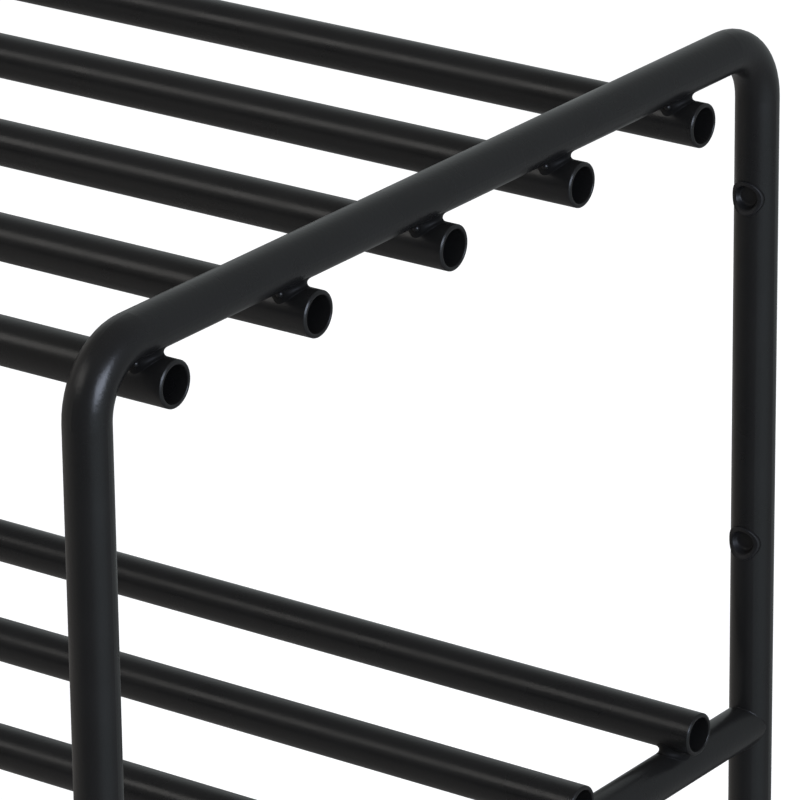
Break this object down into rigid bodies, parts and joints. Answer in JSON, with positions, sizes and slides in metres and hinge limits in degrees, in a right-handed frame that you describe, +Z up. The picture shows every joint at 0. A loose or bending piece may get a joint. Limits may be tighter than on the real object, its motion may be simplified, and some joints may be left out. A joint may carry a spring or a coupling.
{
  "type": "tiered shoe rack",
  "caption": "Low open shoe rack of welded round steel tube: bent U end frames carry open-ended slats in tiers, with cover plugs over wall-fixing holes and push-in foot glides.",
  "frame": {"origin": "on the floor, under the middle of the rack", "axes": "+X along the slats, to the right as seen from the front; +Y from front to back; +Z up"},
  "size_m": [0.7, 0.3, 0.355],
  "materials": {
    "frame_coat": "satin black powder coat",
    "slat_coat": "satin black powder coat",
    "weld_coat": "powder coat over a weld bead",
    "glide_plastic": "moulded polyethylene",
    "plug_plastic": "moulded polyethylene"
  },
  "bodies": {
    "root": {"right_end_frame": "frame_coat", "left_end_frame": "frame_coat", "right_shelf_rail": "frame_coat", "left_shelf_rail": "frame_coat", "top_slat_1": "slat_coat", "top_slat_2": "slat_coat", "top_slat_3": "slat_coat", "top_slat_4": "slat_coat", "top_slat_5": "slat_coat", "lower_slat_1": "slat_coat", "lower_slat_2": "slat_coat", "lower_slat_3": "slat_coat", "lower_slat_4": "slat_coat", "lower_slat_5": "slat_coat", "right_top_slat_welds": "weld_coat", "left_top_slat_welds": "weld_coat", "right_lower_slat_welds": "weld_coat", "left_lower_slat_welds": "weld_coat", "right_rail_welds": "weld_coat", "left_rail_welds": "weld_coat", "right_front_foot_glide": "glide_plastic", "right_rear_foot_glide": "glide_plastic", "left_front_foot_glide": "glide_plastic", "left_rear_foot_glide": "glide_plastic", "right_upper_wall_plug": "plug_plastic", "right_lower_wall_plug": "plug_plastic", "left_upper_wall_plug": "plug_plastic", "left_lower_wall_plug": "plug_plastic"}
  },
  "joints": []
}
